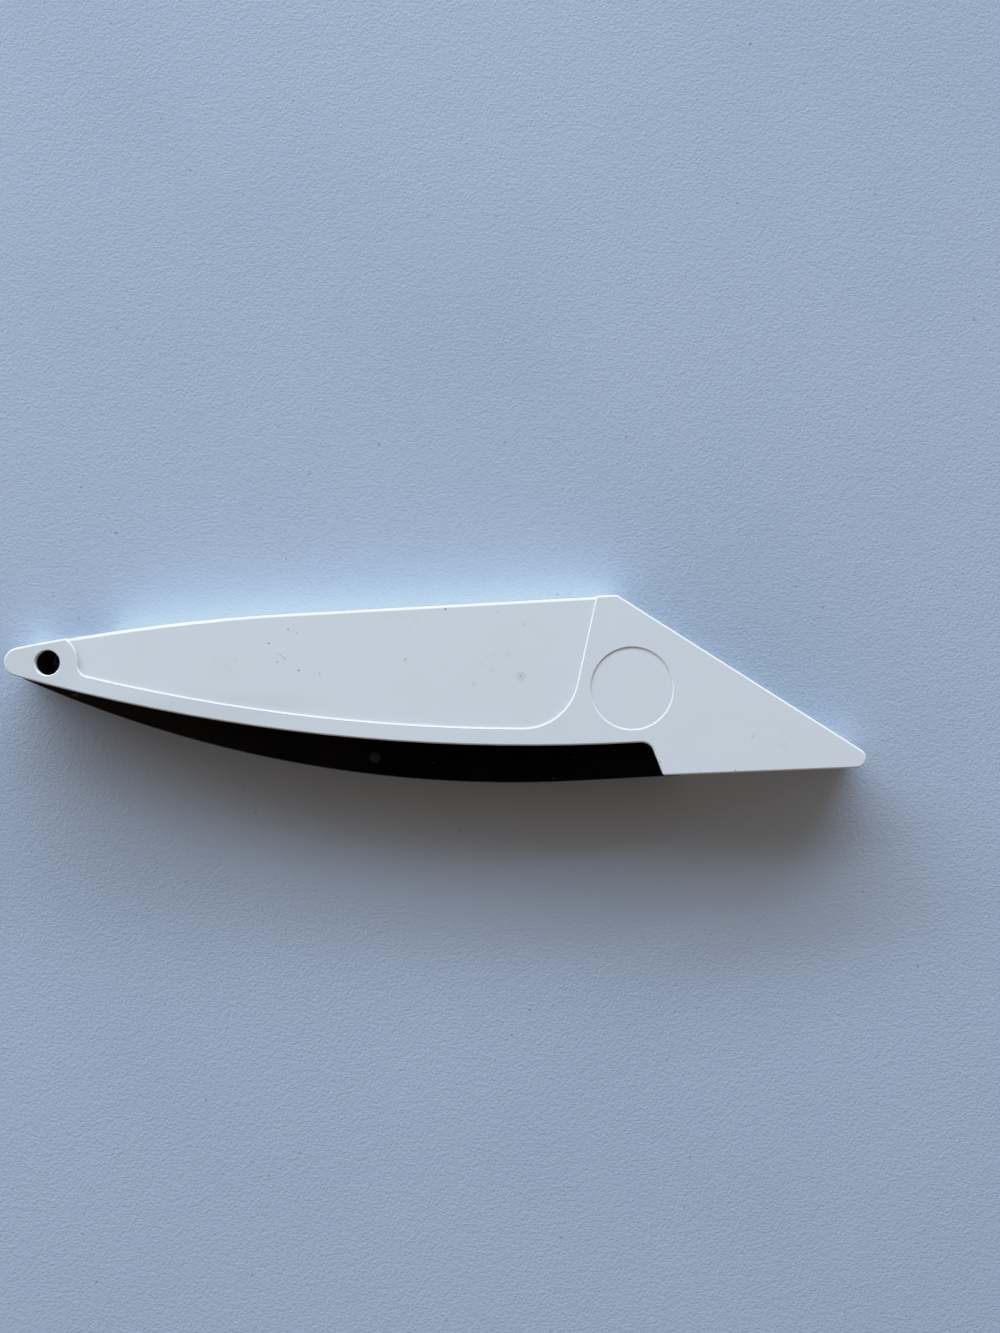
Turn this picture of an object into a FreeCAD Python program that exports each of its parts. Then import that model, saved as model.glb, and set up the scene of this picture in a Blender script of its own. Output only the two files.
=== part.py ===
"""Knife blade guard: two white covers, a black squeeze bar and a sharpener in the nose.

Millimetres. The origin is the hang hole's axis on the parting plane. X runs along the
blade from the hang hole to the mouth, Y runs from the cutting edge to the spine, and
Z runs out of the front cover. The bar turns about the hang hole: squeezing it lifts a
V of two honing rods to the blade's edge.
"""
import FreeCAD
import Part
import math
import os

V = FreeCAD.Vector

# Case outline, seen from the front
case_thickness = 16.0
cover_wall = 2.2
face_edge_round = 0.6
tip_round = 4.85
hole_to_spine = 7.05
hole_to_lower_edge = 7.5
spine_straight_from = 80.0
spine_height = 13.5
spine_tilt = math.radians(0.9)
lower_edge_low = 186.8
lower_edge_depth = 34.9
step_foot = 206.3
step_tilt = math.radians(19.6)
step_round = 4.5
step_foot_round = 0.8
nose_depth = 46.23
nose_base = 75.64
nose_round = 3.25
mouth_angle = math.radians(34.63)
mouth_corner_round = 0.8
nose_wall_height = 9.2
least_round = 0.2

# Recesses in the covers' outer faces
panel_recess = 0.45
panel_bevel = 0.22
panel_edge_round = 0.9
panel_edge_set_in = 0.3
panel_boss_radius = 10.2
panel_boss_round = 4.0
panel_boss_from = math.radians(76.0)
panel_band = 5.85
panel_to_mouth = 32.9
panel_end_tilt = math.radians(14.6)
panel_corner_round = 18.7
medallion_diameter = 28.3
medallion_recess = 0.2
medallion_slope = 0.35
medallion_to_mouth = 42.05
medallion_drop = 16.4

# Seam between the covers
lip_width = 0.8
lip_height = 0.8
lip_clearance = 0.08
seam_bevel = 0.25
peg_radius = 1.1
peg_length = 2.6
peg_clearance = 0.05
peg_boss_wall = 1.2
nose_peg_to_corner = 17.0
nose_peg_height = 2.7

# Pivot at the hang hole
hang_hole_diameter = 8.5
hang_hole_bevel = 0.25
bush_wall = 0.7
bush_seat = 0.6
bush_seat_clearance = 0.05
pivot_clearance = 0.06
eye_wall = 0.9
pivot_gap_before = 4.0
pivot_gap_after = 18.0

# Squeeze bar
bar_side_clearance = 0.3
bar_room = 0.3
bar_low = 177.2
bar_below_nose = 1.02
bar_tilt = math.radians(0.8)
hole_to_bar_edge = 9.6
bar_overlap = 6.0
bar_floor = 2.4
bar_edge_bevel = 0.3
bar_swing = math.radians(1.5)
bar_upper_edge_from = 20.0
gate_mark_along = 108.8
gate_mark_height = 6.15
gate_mark_diameter = 3.9
gate_mark_depth = 0.1
slot_width = 5.2
slot_from_eye = 8.0
hinge_from_eye = 3.0
hinge_fit = 0.05
shoulder_past_step = 2.0
lip_past_step = 6.0
lip_gap = 1.0
stop_gap = 0.1
tongue_height = 6.9
tongue_floor = 1.5
tongue_wall = 1.3
tongue_end_wall = 2.0
tongue_to_corner = 26.0
pocket_gap = 0.05

# Return springs, one each side of the blade slot
spring_past_step = 9.7
spring_length = 11.0
spring_radius = 1.4
spring_wire = 0.4
spring_turns = 6
spring_end_gap = 0.02
spring_side_gap = 0.15
spring_shelf_height = 3.2
spring_shelf_thickness = 2.2
spring_shelf_margin = 0.6
spring_peg_radius = 0.7
spring_peg_length = 1.5
spring_notch_margin = 1.6
spring_path_points = 40

# Sharpener in the nose end of the bar
carrier_past_step = 20.7
carrier_floor = 1.0
carrier_wall = 1.6
carrier_web = 1.9
carrier_ridge_height = 1.2
carrier_ridge_width = 0.6
pin_radius = 0.8
pin_height = 2.2
pin_seat_clearance = 0.02
pin_running_clearance = 0.04
arm_width = 6.0
arm_gap = 0.3
arm_hub_radius = 1.9
arm_heel_length = 2.4
arm_heel_gap = 0.1
arm_length = 7.0
arm_back = 1.0
arm_front = 0.7
arm_relief_from = 3.2
arm_lean = math.radians(20.0)
rod_radius = 1.25
rod_length = 9.0
rod_foot = 1.4
rod_clearance = 0.03
crotch_height = 5.2
arm_spring_thickness = 0.2
arm_spring_width = 5.0
arm_spring_upright = 2.0
arm_spring_contact = 3.0
arm_spring_contact_gap = 0.1
arm_spring_curl = 0.7
arm_spring_curl_lean = math.radians(40.0)
arm_spring_foot_gap = 0.02

# Blade springs and guide ribs inside the covers
guide_gap = 5.2
rib_thickness = 1.4
rib_heights = (-2.5, -15.0)
rib_from = 30.0
rib_bar_clearance = 0.6
blade_spring_to_mouth = 42.0
blade_spring_height = 4.5
blade_spring_span = 36.0
blade_spring_width = 6.0
blade_spring_thickness = 0.4
blade_spring_foot = 4.0
blade_spring_peak = 1.0
blade_spring_hole = 1.0
stud_radius = 0.9
stud_head_radius = 1.5
stud_head_thickness = 0.5
stud_gap = 0.03

# Values that follow from the sizes above
half_thickness = case_thickness / 2
inner_half = half_thickness - cover_wall
hole_radius = hang_hole_diameter / 2
bush_radius = hole_radius + bush_wall
eye_bore = bush_radius + pivot_clearance
eye_radius = eye_bore + eye_wall
bar_half = inner_half - bar_side_clearance
hinge_end = eye_radius + hinge_from_eye
slot_start = eye_radius + slot_from_eye
far = 4 * nose_depth
past_wall = 4 * cover_wall
root = cover_wall / 4
tiny = 1e-6
corner_x = step_foot + nose_base
lip_end = step_foot + lip_past_step
bar_depth = nose_depth + bar_below_nose
tongue_bottom = -nose_depth + cover_wall + stop_gap
tongue_top = tongue_bottom + tongue_height
tongue_floor_top = tongue_bottom + tongue_floor
tongue_end = corner_x - tongue_to_corner
spring_x = step_foot + spring_past_step
spring_z = inner_half - spring_side_gap - spring_radius - spring_wire / 2
spring_foot_y = tongue_bottom + spring_shelf_height
spring_head_y = spring_foot_y + spring_length
pocket_half = bar_half - tongue_wall
carrier_x = step_foot + carrier_past_step
carrier_half = pocket_half - pocket_gap
carrier_floor_top = tongue_floor_top + carrier_floor
carrier_length = 2 * carrier_wall + 2 * arm_width + carrier_web + 4 * arm_gap
front_arm_x = carrier_x + carrier_wall + arm_gap
rear_arm_x = front_arm_x + arm_width + carrier_web + 2 * arm_gap
pin_y = carrier_floor_top + pin_height
rod_offset = rod_radius - crotch_height * math.sin(arm_lean)


def on_circle(centre, radius, towards):
    """Point of a circle on the ray from its centre towards another point."""
    ray = towards - centre
    return centre + ray * (radius / ray.Length)


def line(start, end):
    """Straight edge."""
    return Part.LineSegment(start, end).toShape()


def arc(centre, radius, start, end):
    """Round edge the short way between two points of a circle."""
    middle = on_circle(centre, radius, (start + end) * 0.5)
    return Part.Arc(start, middle, end).toShape()


def tangent_circle(point, normal, through):
    """Centre and radius of the circle that leaves a point square to its normal and passes another."""
    chord = through - point
    radius = chord.dot(chord) / (2 * chord.dot(normal))
    return point + normal * radius, radius


def circles_meet(centre_a, radius_a, centre_b, radius_b):
    """Both crossing points of two circles, lower X first."""
    between = centre_b - centre_a
    along = (between.dot(between) + radius_a**2 - radius_b**2) / (2 * between.Length)
    across = math.sqrt(radius_a**2 - along**2)
    unit = between * (1 / between.Length)
    side = V(-unit.y, unit.x, 0)
    pair = [centre_a + unit * along + side * across, centre_a + unit * along - side * across]
    return sorted(pair, key=lambda point: point.x)


def line_meets_circle(point, direction, centre, radius):
    """Both crossing points of a line and a circle, lower Y first."""
    nearest = point + direction * (centre - point).dot(direction)
    half = math.sqrt(radius**2 - (nearest - centre).Length ** 2)
    pair = [nearest + direction * half, nearest - direction * half]
    return sorted(pair, key=lambda crossing: crossing.y)


def lines_meet(point_a, direction_a, point_b, direction_b):
    """Crossing point of two lines."""
    cross = direction_a.x * direction_b.y - direction_a.y * direction_b.x
    offset = point_b - point_a
    share = (offset.x * direction_b.y - offset.y * direction_b.x) / cross
    return point_a + direction_a * share


def rounded_corner(corner, from_direction, to_direction, radius):
    """Start, centre and end of the round between two lines that leave a corner."""
    half = from_direction.getAngle(to_direction) / 2
    reach = radius / math.tan(half)
    bisector = from_direction + to_direction
    centre = corner + bisector * (radius / math.sin(half) / bisector.Length)
    return corner + from_direction * reach, centre, corner + to_direction * reach


def tangent_point(point, radius, turn):
    """Point of a circle round the origin where the line from an outer point touches it."""
    angle = math.atan2(point.y, point.x) + turn * math.acos(radius / point.Length)
    return V(radius * math.cos(angle), radius * math.sin(angle), 0)


def outline_face(edges):
    """Face inside edges given in order."""
    return Part.Face(Part.Wire(edges))


def polygon(points):
    """Face of straight sides."""
    return Part.Face(Part.makePolygon(points + [points[0]]))


def prism(face, low, high):
    """Solid between two heights over a face."""
    return face.translated(V(0, 0, low)).extrude(V(0, 0, high - low))


def block(low, high):
    """Box between two corners."""
    size = high - low
    return Part.makeBox(size.x, size.y, size.z, low)


def mirrored(shape):
    """Copy on the other side of the parting plane."""
    return shape.mirror(V(0, 0, 0), V(0, 0, 1))


# Lines and circles of the case outline
spine_point = V(spine_straight_from, spine_height, 0)
spine_direction = V(math.cos(spine_tilt), math.sin(spine_tilt), 0)
spine_inward = V(math.sin(spine_tilt), -math.cos(spine_tilt), 0)
spine_centre, spine_radius = tangent_circle(spine_point, spine_inward, V(0, hole_to_spine, 0))
lower_point = V(lower_edge_low, -lower_edge_depth, 0)
lower_centre, lower_radius = tangent_circle(lower_point, V(0, 1, 0), V(0, -hole_to_lower_edge, 0))
tip_centre = circles_meet(spine_centre, spine_radius - tip_round, lower_centre, lower_radius - tip_round)[0]
nose_corner = V(corner_x, -nose_depth, 0)
mouth_direction = V(-math.cos(mouth_angle), math.sin(mouth_angle), 0)
mouth_inward = V(-math.sin(mouth_angle), -math.cos(mouth_angle), 0)
step_point = V(step_foot, -nose_depth, 0)
step_direction = V(-math.sin(step_tilt), math.cos(step_tilt), 0)
step_inward = V(math.cos(step_tilt), math.sin(step_tilt), 0)
step_centre = line_meets_circle(
    step_point - step_inward * step_round, step_direction, lower_centre, lower_radius + step_round
)[0]


def mouth_x(height):
    """Place of the mouth edge along the case at a height above the hang hole."""
    return corner_x - (height + nose_depth) / math.tan(mouth_angle)


def case_outline(inset):
    """Face of the case outline, drawn in by a distance all round."""
    left = V(-1, 0, 0)
    spine_start = spine_point + spine_inward * inset
    mouth_start = nose_corner + mouth_inward * inset
    floor_start = nose_corner + V(0, inset, 0)
    step_start = step_point + step_inward * inset
    mouth_corner = lines_meet(spine_start, spine_direction, mouth_start, mouth_direction)
    nose_end = lines_meet(mouth_start, mouth_direction, floor_start, left)
    foot = lines_meet(step_start, step_direction, floor_start, left)
    mouth_r = max(mouth_corner_round - inset, least_round)
    nose_r = max(nose_round - inset, least_round)
    foot_r = max(step_foot_round - inset, least_round)
    a1, a0, a2 = rounded_corner(mouth_corner, -spine_direction, -mouth_direction, mouth_r)
    b1, b0, b2 = rounded_corner(nose_end, mouth_direction, left, nose_r)
    c1, c0, c2 = rounded_corner(foot, -left, step_direction, foot_r)
    d1 = step_centre + step_inward * (step_round + inset)
    d2 = on_circle(lower_centre, lower_radius - inset, step_centre)
    t1 = on_circle(lower_centre, lower_radius - inset, tip_centre)
    t2 = on_circle(spine_centre, spine_radius - inset, tip_centre)
    return outline_face(
        [
            arc(spine_centre, spine_radius - inset, t2, spine_start),
            line(spine_start, a1),
            arc(a0, mouth_r, a1, a2),
            line(a2, b1),
            arc(b0, nose_r, b1, b2),
            line(b2, c1),
            arc(c0, foot_r, c1, c2),
            line(c2, d1),
            arc(step_centre, step_round + inset, d1, d2),
            arc(lower_centre, lower_radius - inset, d2, t1),
            arc(tip_centre, tip_round - inset, t1, t2),
        ]
    )


def panel_outline(grow):
    """Wire round the recessed panel, open to the spine, with its sides moved out by a distance."""
    band_radius = lower_radius - panel_band
    end_direction = V(math.sin(panel_end_tilt), math.cos(panel_end_tilt), 0)
    end_outward = V(math.cos(panel_end_tilt), -math.sin(panel_end_tilt), 0)
    end_point = V(mouth_x(0) - panel_to_mouth, 0, 0)
    boss_centre = V(0, 0, 0)
    boss_corner = circles_meet(
        boss_centre, panel_boss_radius + panel_boss_round, lower_centre, band_radius - panel_boss_round
    )[1]
    end_corner = line_meets_circle(
        end_point - end_outward * panel_corner_round,
        end_direction,
        lower_centre,
        band_radius - panel_corner_round,
    )[0]
    boss_radius = panel_boss_radius - grow
    k0 = on_circle(boss_centre, boss_radius, V(math.cos(panel_boss_from), math.sin(panel_boss_from), 0))
    k1 = on_circle(boss_centre, boss_radius, boss_corner)
    k2 = on_circle(lower_centre, band_radius + grow, boss_corner)
    k3 = on_circle(lower_centre, band_radius + grow, end_corner)
    k4 = end_corner + end_outward * (panel_corner_round + grow)
    k5 = lines_meet(end_point + end_outward * grow, end_direction, V(0, far, 0), V(1, 0, 0))
    k6 = V(k0.x, far, 0)
    return Part.Wire(
        [
            arc(boss_centre, boss_radius, k0, k1),
            arc(boss_corner, panel_boss_round + grow, k1, k2),
            arc(lower_centre, band_radius + grow, k2, k3),
            arc(end_corner, panel_corner_round + grow, k3, k4),
            line(k4, k5),
            line(k5, k6),
            line(k6, k0),
        ]
    )


def rounded_plate(inset, height, radius):
    """Prism of the case outline with its upper edge rounded and its seam edge bevelled."""
    solid = prism(case_outline(inset), 0, height)
    face_edges = [edge for edge in solid.Edges if edge.BoundBox.ZMin > height - tiny]
    solid = solid.makeFillet(radius, face_edges)
    seam_edges = [edge for edge in solid.Edges if edge.BoundBox.ZMax < tiny]
    return solid.makeChamfer(seam_bevel, seam_edges)


# Curves of the squeeze bar
bar_point = V(bar_low, -bar_depth, 0)
bar_direction = V(math.cos(bar_tilt), math.sin(bar_tilt), 0)
bar_inward = V(-math.sin(bar_tilt), math.cos(bar_tilt), 0)
bar_centre, bar_radius = tangent_circle(bar_point, bar_inward, V(0, -hole_to_bar_edge, 0))
bar_tail = line_meets_circle(V(tip_centre.x, 0, 0), V(0, 1, 0), bar_centre, bar_radius)[0]
tail_touch = tangent_point(bar_tail, eye_radius, -1)
upper_radius = lower_radius - bar_overlap


def upper_edge_at(along):
    """Point of the bar's hidden upper edge, which runs inside the covers' lower edge."""
    return line_meets_circle(V(along, 0, 0), V(0, 1, 0), lower_centre, upper_radius)[0]


def bar_floor_at(along, depth):
    """Point a depth inside the bar's straight outer edge."""
    return lines_meet(bar_point + bar_inward * depth, bar_direction, V(along, 0, 0), V(0, 1, 0))


def cavity():
    """Room between the covers' plates, open at the mouth, under the bar and over the bar's eye."""
    right_half = block(V(0, -far, -half_thickness), V(2 * corner_x, far, half_thickness))
    inside = prism(case_outline(cover_wall), -inner_half, inner_half).common(right_half)
    eye = Part.makeCylinder(eye_radius + bar_room, 2 * inner_half, V(0, 0, -inner_half))
    tail_side = (tail_touch - bar_tail).normalize()
    tail_out = V(-tail_side.y, tail_side.x, 0) * bar_room
    tail = polygon(
        [
            tail_touch + tail_out,
            V(0, 0, 0),
            V(0, -far, 0),
            bar_tail + tail_out - tail_side * past_wall - V(0, far, 0),
            bar_tail + tail_out - tail_side * past_wall,
        ]
    )
    window = block(V(0, -far, -inner_half), V(lip_end + lip_gap, 0, inner_half))
    pivot_gap = block(V(-pivot_gap_before, 0, -inner_half), V(pivot_gap_after, far, inner_half))
    high = lines_meet(spine_point + spine_inward * cover_wall, spine_direction, nose_corner, mouth_direction)
    low = V(mouth_x(-nose_depth + nose_wall_height), -nose_depth + nose_wall_height, 0)
    level = V(past_wall, 0, 0)
    square = mouth_inward * past_wall
    mouth = polygon([high - level, high + level, low - square, low + square])
    room = inside.fuse([eye, window, pivot_gap])
    for face in (tail, mouth):
        room = room.fuse(prism(face, -inner_half, inner_half))
    return room


def seam_ring(clearance, low, high):
    """Ridge along the middle of the covers' walls, grown by a clearance."""
    outer = (cover_wall - lip_width) / 2 - clearance
    ring = case_outline(outer).cut(case_outline(outer + lip_width + 2 * clearance))
    return prism(ring, low, high)


def cover_shell(medallion):
    """Front cover's plate and walls, before its inner features: frame, panel and medallion recess."""
    panel_face = Part.Face(panel_outline(0))
    panel_room = prism(panel_face, -half_thickness, case_thickness)
    frame = rounded_plate(0, half_thickness, face_edge_round).cut(panel_room)
    bevel = Part.makeLoft(
        [
            panel_outline(0).translated(V(0, 0, half_thickness - panel_bevel)),
            panel_outline(2 * panel_bevel).translated(V(0, 0, half_thickness + panel_bevel)),
        ],
        True,
        True,
    )
    frame = frame.cut(bevel)
    panel = rounded_plate(panel_edge_set_in, half_thickness - panel_recess, panel_edge_round)
    shell = frame.fuse(panel.common(panel_room)).removeSplitter()
    if medallion:
        centre = V(mouth_x(-medallion_drop) - medallion_to_mouth, -medallion_drop, 0)
        floor = centre + V(0, 0, half_thickness - medallion_recess)
        floor_radius = medallion_diameter / 2 - medallion_slope
        dish = Part.makeCone(floor_radius, floor_radius + 2 * medallion_slope, 2 * medallion_recess, floor)
        shell = shell.cut(dish)
    return shell


def hang_hole_cut():
    """Hang hole through one cover, with its bevelled rim and the bush's seat."""
    hole = Part.makeCylinder(hole_radius, case_thickness)
    rim = Part.makeCone(
        hole_radius,
        hole_radius + 2 * hang_hole_bevel,
        2 * hang_hole_bevel,
        V(0, 0, half_thickness - hang_hole_bevel),
    )
    seat = Part.makeCylinder(bush_radius + bush_seat_clearance, inner_half + bush_seat)
    return hole.fuse([rim, seat])


def guide_ribs():
    """Ribs that keep the blade in the middle, clear of the bar at the end of its swing."""
    swing = bar_swing * (lip_end - lip_past_step)
    radius = upper_radius - swing - rib_bar_clearance
    start = line_meets_circle(V(rib_from, 0, 0), V(0, 1, 0), lower_centre, radius)[0]
    end = line_meets_circle(V(lip_end, 0, 0), V(0, 1, 0), lower_centre, radius)[0]
    above = outline_face(
        [
            arc(lower_centre, radius, start, end),
            line(end, V(lip_end, far, 0)),
            line(V(lip_end, far, 0), V(rib_from, far, 0)),
            line(V(rib_from, far, 0), start),
        ]
    )
    low = guide_gap / 2
    high = inner_half + root
    zone = prism(above, low, high).common(prism(case_outline(cover_wall), low, high))
    ribs = []
    for height in rib_heights:
        bar = block(
            V(0, height - rib_thickness / 2, low),
            V(corner_x, height + rib_thickness / 2, high),
        )
        ribs.append(bar.common(zone))
    return ribs


def cover_spring_shelf():
    """Shelf and peg on the front cover that the return spring pushes against."""
    half = spring_radius + spring_wire / 2 + spring_shelf_margin
    shelf = block(
        V(spring_x - half, spring_head_y, guide_gap / 2),
        V(spring_x + half, spring_head_y + spring_shelf_thickness, inner_half + root),
    )
    peg = Part.makeCylinder(
        spring_peg_radius,
        spring_peg_length + spring_shelf_thickness / 2,
        V(spring_x, spring_head_y - spring_peg_length, spring_z),
        V(0, 1, 0),
    )
    return shelf.fuse(peg)


def blade_spring_start():
    """Mouth end of the blade spring along the case."""
    return mouth_x(blade_spring_height) - blade_spring_to_mouth + blade_spring_span / 2


def blade_spring_stud():
    """Headed stud that holds the mouth end of the blade spring on the front cover."""
    place = V(blade_spring_start() - blade_spring_foot / 2, blade_spring_height, 0)
    under_head = inner_half - blade_spring_thickness - stud_gap
    stem = Part.makeCylinder(stud_radius, inner_half + root - under_head, place + V(0, 0, under_head))
    head = Part.makeCylinder(
        stud_head_radius, stud_head_thickness, place + V(0, 0, under_head - stud_head_thickness)
    )
    return stem.fuse(head)


def peg_places():
    """Places of the pegs that line up the covers: in the tip and in the nose."""
    nose = nose_corner + V(-nose_peg_to_corner, cover_wall + nose_peg_height, 0)
    return [tip_centre, nose]


def make_cover(medallion):
    """Front cover without its seam features; the rear cover is its mirror image."""
    cover = cover_shell(medallion).cut(cavity())
    nose = peg_places()[1]
    boss = Part.makeCylinder(peg_radius + peg_boss_wall, inner_half + root, nose)
    cover = cover.fuse(guide_ribs() + [cover_spring_shelf(), blade_spring_stud(), boss])
    return cover.cut(hang_hole_cut()).removeSplitter()


def make_front_cover():
    """White front shell with the medallion recess, the seam's groove and the peg holes."""
    cover = make_cover(True)
    cover = cover.cut(seam_ring(lip_clearance, -lip_height, lip_height + lip_clearance))
    for place in peg_places():
        hole = Part.makeCylinder(peg_radius + peg_clearance, peg_length + 2 * peg_clearance, place)
        cover = cover.cut(hole)
    return cover


def make_rear_cover():
    """White rear shell with the seam's ridge and the pegs."""
    cover = mirrored(make_cover(False))
    ridge = seam_ring(0, -lip_height, lip_height)
    open_room = cavity().fuse(prism(polygon(hole_square()), -half_thickness, half_thickness))
    cover = cover.fuse(ridge.cut(open_room))
    for place in peg_places():
        cover = cover.fuse(Part.makeCylinder(peg_radius, 2 * peg_length, place - V(0, 0, peg_length)))
    return cover.removeSplitter()


def hole_square():
    """Square round the hang hole that the seam's ridge keeps out of."""
    reach = eye_radius + bar_room
    return [V(-reach, -reach, 0), V(reach, -reach, 0), V(reach, far, 0), V(-reach, far, 0)]


def make_pivot_bush():
    """Tube through both covers that lines the hang hole and carries the bar."""
    reach = inner_half + bush_seat - bush_seat_clearance
    tube = Part.makeCylinder(bush_radius, 2 * reach, V(0, 0, -reach))
    return tube.cut(Part.makeCylinder(hole_radius, 2 * reach, V(0, 0, -reach)))


def bar_outline():
    """Face of the whole bar from the eye to the end of its tongue in the nose."""
    upper_start = upper_edge_at(bar_upper_edge_from)
    upper_end = upper_edge_at(step_foot + shoulder_past_step)
    eye_leave = tangent_point(upper_start, eye_radius, 1)
    eye_middle = (tail_touch + eye_leave).normalize() * eye_radius
    shoulder_foot = V(upper_end.x, tongue_top, 0)
    lip = bar_floor_at(lip_end, 0)
    corners = [
        lip,
        V(lip_end, tongue_bottom, 0),
        V(tongue_end, tongue_bottom, 0),
        V(tongue_end, tongue_top, 0),
        shoulder_foot,
        upper_end,
    ]
    edges = [arc(bar_centre, bar_radius, bar_tail, bar_point), line(bar_point, lip)]
    edges += [line(start, end) for start, end in zip(corners, corners[1:])]
    edges += [
        arc(lower_centre, upper_radius, upper_end, upper_start),
        line(upper_start, eye_leave),
        Part.Arc(eye_leave, eye_middle, tail_touch).toShape(),
        line(tail_touch, bar_tail),
    ]
    return outline_face(edges)


def bar_slot():
    """Channel along the bar that straddles the blade."""
    start = hinge_end - hinge_fit
    floor_radius = bar_radius - bar_floor
    floor_start = line_meets_circle(V(start, 0, 0), V(0, 1, 0), bar_centre, floor_radius)[0]
    floor_point = bar_point + bar_inward * bar_floor
    rise = bar_floor_at(lip_end - bar_floor, bar_floor)
    corners = [
        rise,
        V(rise.x, tongue_floor_top, 0),
        V(tongue_end - tongue_end_wall, tongue_floor_top, 0),
        V(tongue_end - tongue_end_wall, far, 0),
        V(start, far, 0),
        floor_start,
    ]
    edges = [arc(bar_centre, floor_radius, floor_start, floor_point), line(floor_point, rise)]
    edges += [line(begin, end) for begin, end in zip(corners, corners[1:])]
    return prism(outline_face(edges), -slot_width / 2, slot_width / 2)


def bar_length(start, end):
    """Length of the solid bar between two places along it, with its outer edges bevelled."""
    solid = prism(bar_outline(), -bar_half, bar_half)
    solid = solid.common(block(V(start, -far, -half_thickness), V(end, far, half_thickness)))
    outer = Part.Wire(
        [arc(bar_centre, bar_radius, bar_tail, bar_point), line(bar_point, bar_floor_at(lip_end, 0))]
    )
    rims = []
    for edge in solid.Edges:
        box = edge.BoundBox
        middle = edge.valueAt((edge.FirstParameter + edge.LastParameter) / 2)
        on_outer = outer.distToShape(Part.Vertex(middle.x, middle.y, 0))[0] < tiny
        if box.ZLength < tiny and on_outer:
            rims.append(edge)
    return solid.makeChamfer(bar_edge_bevel, rims)


def make_hinge_eye():
    """Hinge end of the bar: an eye round the bush and a tongue that plugs into the bar's channel."""
    eye = bar_length(-far, hinge_end)
    tongue_half = slot_width / 2 - hinge_fit
    tongue = prism(bar_outline(), -tongue_half, tongue_half).common(
        block(V(hinge_end - hinge_fit, -far, -tongue_half), V(slot_start, far, tongue_half))
    )
    above_floor = Part.makeCylinder(
        bar_radius - bar_floor - hinge_fit, case_thickness, bar_centre - V(0, 0, half_thickness)
    )
    bore = Part.makeCylinder(eye_bore, case_thickness, V(0, 0, -half_thickness))
    return eye.fuse(tongue.common(above_floor)).cut(bore).removeSplitter()


def make_squeeze_bar():
    """Black bar: channel along the blade, shelves for the springs and tongue with the sharpener's pocket."""
    solid = bar_length(hinge_end, 2 * corner_x)
    pocket = block(
        V(carrier_x - pocket_gap, tongue_floor_top, -pocket_half),
        V(carrier_x + carrier_length + pocket_gap, far, pocket_half),
    )
    notch_half = spring_radius + spring_wire / 2 + spring_notch_margin
    notch = block(
        V(spring_x - notch_half, spring_foot_y, -half_thickness),
        V(spring_x + notch_half, far, half_thickness),
    )
    edge_y = line_meets_circle(V(gate_mark_along, 0, 0), V(0, 1, 0), bar_centre, bar_radius)[0].y
    gate_mark = Part.makeCylinder(
        gate_mark_diameter / 2,
        case_thickness,
        V(gate_mark_along, edge_y + gate_mark_height, bar_half - gate_mark_depth),
    )
    solid = solid.cut([bar_slot(), pocket, notch, gate_mark])
    for side in (1, -1):
        peg = Part.makeCylinder(
            spring_peg_radius,
            spring_peg_length + spring_shelf_height / 2,
            V(spring_x, spring_foot_y - spring_shelf_height / 2, side * spring_z),
            V(0, 1, 0),
        )
        solid = solid.fuse(peg)
    return solid.removeSplitter()


def biarc(start, start_way, end, end_way):
    """Two round edges that join two points along their directions."""
    chord = end - start
    ways = start_way + end_way
    spread = 2 * (1 - start_way.dot(end_way))
    reach = (-chord.dot(ways) + math.sqrt(chord.dot(ways) ** 2 + spread * chord.dot(chord))) / spread
    first = start + start_way * reach
    second = end - end_way * reach
    middle = (first + second) * 0.5
    edges = []
    for begin, corner, finish in ((start, first, middle), (middle, second, end)):
        centre = (begin + finish) * 0.5
        half = (finish - begin).Length / 2
        lift = corner - centre
        bulge = half * math.tan(math.atan2(lift.Length, half) / 2)
        edges.append(Part.Arc(begin, centre + lift * (bulge / lift.Length), finish).toShape())
    return edges


def coil_point(angle, rise):
    """Point and direction of a helix about Y."""
    climb = rise / (2 * math.pi)
    place = V(spring_radius * math.cos(angle), climb * angle, spring_radius * math.sin(angle))
    way = V(-spring_radius * math.sin(angle), climb, spring_radius * math.cos(angle))
    return place, way.normalize()


def make_return_spring(side):
    """Coil spring between the bar's shelf and the cover's shelf, as one unbroken tube."""
    travel = spring_length - spring_wire - 2 * spring_end_gap
    level_ends = 2 * spring_wire * math.sin(math.atan2(travel, 2 * math.pi * spring_radius * spring_turns))
    pitch = (travel - level_ends) / spring_turns
    quarter = math.pi / 2
    stations = [coil_point(quarter * step, pitch) for step in range(4 * spring_turns + 1)]
    first, first_way = stations[0]
    last, last_way = stations[-1]
    edges = [line(first - first_way * spring_wire, first)]
    for (start, start_way), (end, end_way) in zip(stations, stations[1:]):
        edges += biarc(start, start_way, end, end_way)
    edges.append(line(last, last + last_way * spring_wire))
    path = Part.Wire(edges)
    section = Part.Wire(
        Part.makeCircle(spring_wire / 2, first - first_way * spring_wire, first_way)
    )
    tube = path.makePipeShell([section], True, False)
    lift = spring_foot_y + spring_end_gap - tube.BoundBox.YMin
    tube.translate(V(spring_x, lift, side * spring_z))
    print_least_gap("return spring", path.discretize(spring_path_points * spring_turns), spring_wire)
    return tube


def print_least_gap(name, points, diameter):
    """Prints the least gap of a wound tube to itself, between points over half a turn apart."""
    apart = len(points) // (2 * spring_turns)
    gaps = []
    for index, point in enumerate(points):
        for other in points[index + apart:]:
            gaps.append((point - other).Length - diameter)
    print(name, "least gap to itself", round(min(gaps), 3))


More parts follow.
